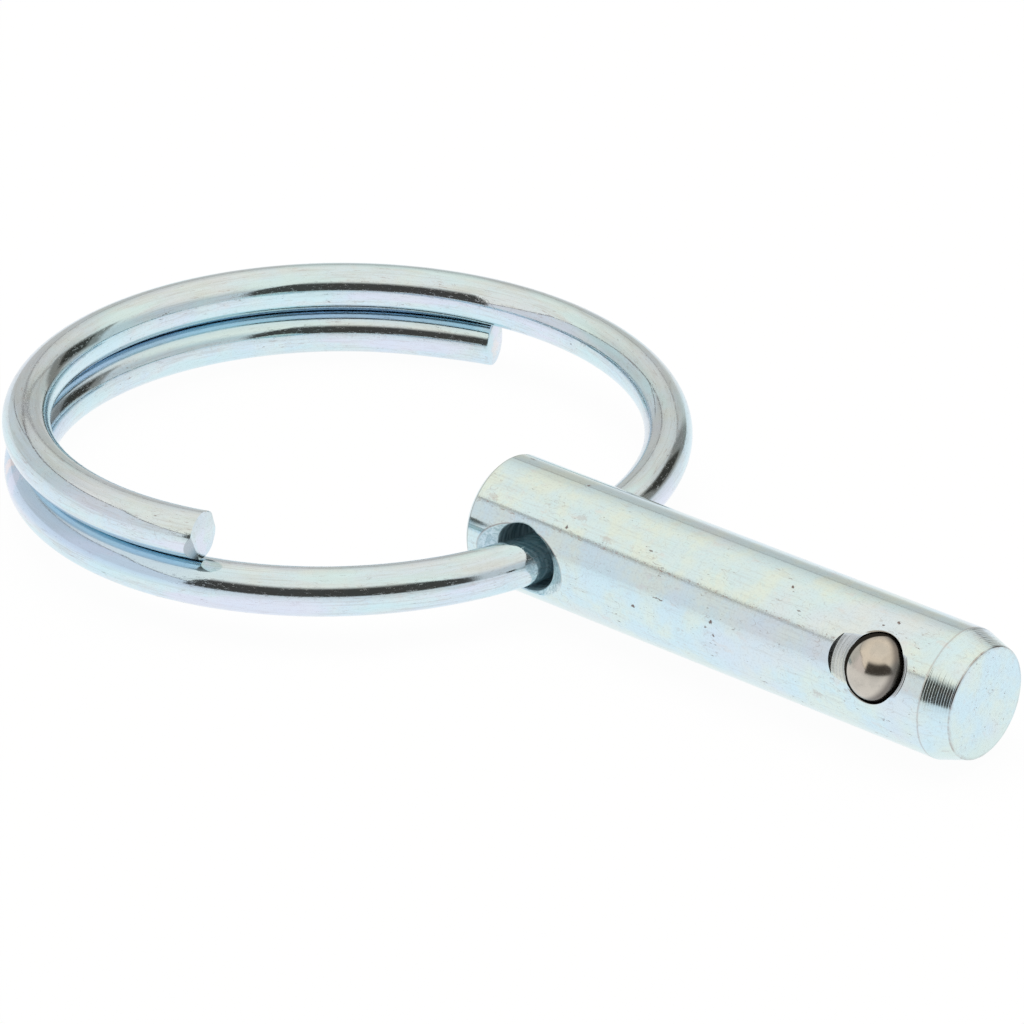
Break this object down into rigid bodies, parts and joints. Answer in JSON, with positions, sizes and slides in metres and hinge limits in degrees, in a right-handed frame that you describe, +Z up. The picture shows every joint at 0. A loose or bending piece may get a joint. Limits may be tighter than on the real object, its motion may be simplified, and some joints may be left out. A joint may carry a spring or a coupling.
{
  "type": "ball lock hitch pin",
  "caption": "Round pin with a tapered nose, pushed through a hole and held there by a small sprung ball, with a loose coiled wire ring through its tail to pull it out by.",
  "frame": {"origin": "on the pin's axis, midway between the ring hole's axis and the ball's axis; the ground the pin lies on is 4 mm below it", "axes": "+X along the pin towards its nose, +Z up with the pin lying on its side, +Y along the ring hole towards the mouth that the ring's lower turn comes out of; the ring lies on the ground beyond the tail"},
  "size_m": [0.073, 0.043, 0.008],
  "materials": {
    "pin_zinc": "bright zinc plate with a clear passivate, faintly iridescent, finely scratched and speckled",
    "ring_zinc": "bright zinc plate with a clear passivate, faintly iridescent",
    "ball_steel": "polished hardened steel",
    "spring_steel": "drawn spring wire"
  },
  "bodies": {
    "pin": {"pin_body": "pin_zinc", "ball_spring": "spring_steel"},
    "ring": {"split_ring": "ring_zinc"},
    "ball": {"detent_ball": "ball_steel"}
  },
  "joints": [
    {"name": "ring_swing", "type": "hinge", "parent": "pin", "child": "ring", "pos_m": [-0.01315, 0, 0], "axis": [0, 1, 0], "continuous": true},
    {"name": "ball_press", "type": "slide", "parent": "pin", "child": "ball", "axis": [0, -0.8829, 0.4695], "range_m": [-0.00109, 0], "stiffness_N_per_m": 2000, "springref_m": 0.0009, "deforming": ["ball_spring"]}
  ]
}
